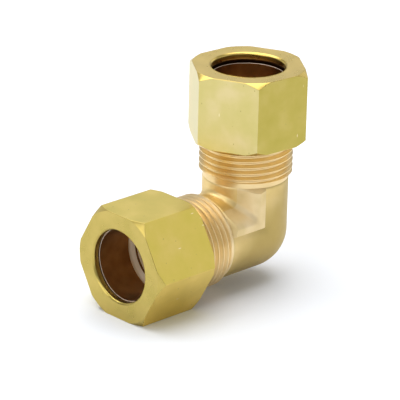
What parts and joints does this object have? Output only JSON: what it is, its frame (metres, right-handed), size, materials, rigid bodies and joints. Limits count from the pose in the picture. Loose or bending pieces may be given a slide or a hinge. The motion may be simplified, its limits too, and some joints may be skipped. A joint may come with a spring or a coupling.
{
  "type": "compression union elbow",
  "caption": "Brass 90 degree compression elbow for plain tube: forged threaded body with a long hexagon nut and a loose tapered ferrule on each arm.",
  "frame": {"origin": "below the middle of the bounding box, on the surface that the side nut's lower flat rests on", "axes": "+Z out of the top arm's tube socket, -X out of the side arm's tube socket, Y across both arms"},
  "size_m": [0.0512, 0.0274, 0.0494],
  "materials": {
    "forged_brass": "tumbled forging with bright turned threads",
    "nut_brass": "satin drawn hexagon bar, turned ends",
    "ferrule_brass": "bright turned"
  },
  "bodies": {
    "elbow": {"elbow_body": "forged_brass"},
    "side_sleeve": {"side_ferrule": "ferrule_brass"},
    "side_nut": {"side_nut": "nut_brass"},
    "top_sleeve": {"top_ferrule": "ferrule_brass"},
    "top_nut": {"top_nut": "nut_brass"}
  },
  "joints": [
    {"name": "side_nut_travel", "type": "slide", "parent": "elbow", "child": "side_sleeve", "axis": [-1, 0, 0], "range_m": [-0.00024, 0.00847]},
    {"name": "side_nut_turn", "type": "hinge", "parent": "side_sleeve", "child": "side_nut", "pos_m": [0.01188, 0, 0.01191], "axis": [-1, 0, 0], "range_deg": [-60, 2160]},
    {"name": "top_nut_travel", "type": "slide", "parent": "elbow", "child": "top_sleeve", "axis": [0, 0, 1], "range_m": [-0.00024, 0.00847]},
    {"name": "top_nut_turn", "type": "hinge", "parent": "top_sleeve", "child": "top_nut", "pos_m": [0.01188, 0, 0.01191], "axis": [0, 0, 1], "range_deg": [-60, 2160]}
  ],
  "couplings": [
    {"joint": "side_nut_travel", "follows": "side_nut_turn", "m_per_rad": 0.00022459},
    {"joint": "top_nut_travel", "follows": "top_nut_turn", "m_per_rad": 0.00022459}
  ]
}
